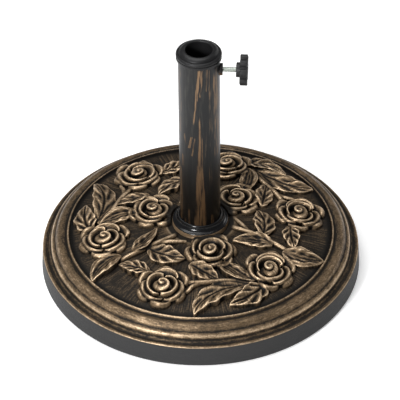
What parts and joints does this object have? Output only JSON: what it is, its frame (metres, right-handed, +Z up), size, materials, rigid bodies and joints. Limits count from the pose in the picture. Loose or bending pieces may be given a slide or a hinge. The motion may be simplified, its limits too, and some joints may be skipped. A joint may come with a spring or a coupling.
{
  "type": "parasol base",
  "caption": "Round stone-resin parasol base with roses in relief, a bolted steel tube, a plastic pole insert and a clamping screw with a star knob.",
  "frame": {"origin": "centre of the footprint, on the ground, on the tube's axis", "axes": "+Z up along the tube, +X along the clamping screw towards its knob"},
  "size_m": [0.4, 0.4, 0.325],
  "materials": {
    "bronzed_resin": "satin",
    "bronzed_steel": "satin",
    "black_plastic": "satin",
    "glossy_plastic": "gloss",
    "zinc_steel": "satin",
    "foot_rubber": "matte"
  },
  "bodies": {
    "stand": {"base_casting": "bronzed_resin", "base_tube": "bronzed_steel", "tube_end_plate": "bronzed_steel", "end_plate_nut": "zinc_steel", "fixing_bolt": "zinc_steel", "spring_washer": "zinc_steel", "large_washer": "zinc_steel", "pole_insert": "black_plastic", "screw_nut": "bronzed_steel", "foot_1": "foot_rubber", "foot_2": "foot_rubber", "foot_3": "foot_rubber", "foot_4": "foot_rubber"},
    "collar": {"collar": "glossy_plastic"},
    "screw": {"screw_rod": "zinc_steel"},
    "knob": {"knob": "black_plastic", "knob_cap": "black_plastic"}
  },
  "joints": [
    {"name": "collar_slide", "type": "slide", "parent": "stand", "child": "collar", "axis": [0, 0, 1], "range_m": [0, 0.2]},
    {"name": "screw_slide", "type": "slide", "parent": "stand", "child": "screw", "axis": [1, 0, 0], "range_m": [-0.013, 0.005]},
    {"name": "knob_turn", "type": "hinge", "parent": "screw", "child": "knob", "pos_m": [0.05, 0, 0.297], "axis": [1, 0, 0], "range_deg": [-4644, 1764]}
  ],
  "couplings": [
    {"joint": "screw_slide", "follows": "knob_turn", "m_per_rad": 0.00015915}
  ]
}
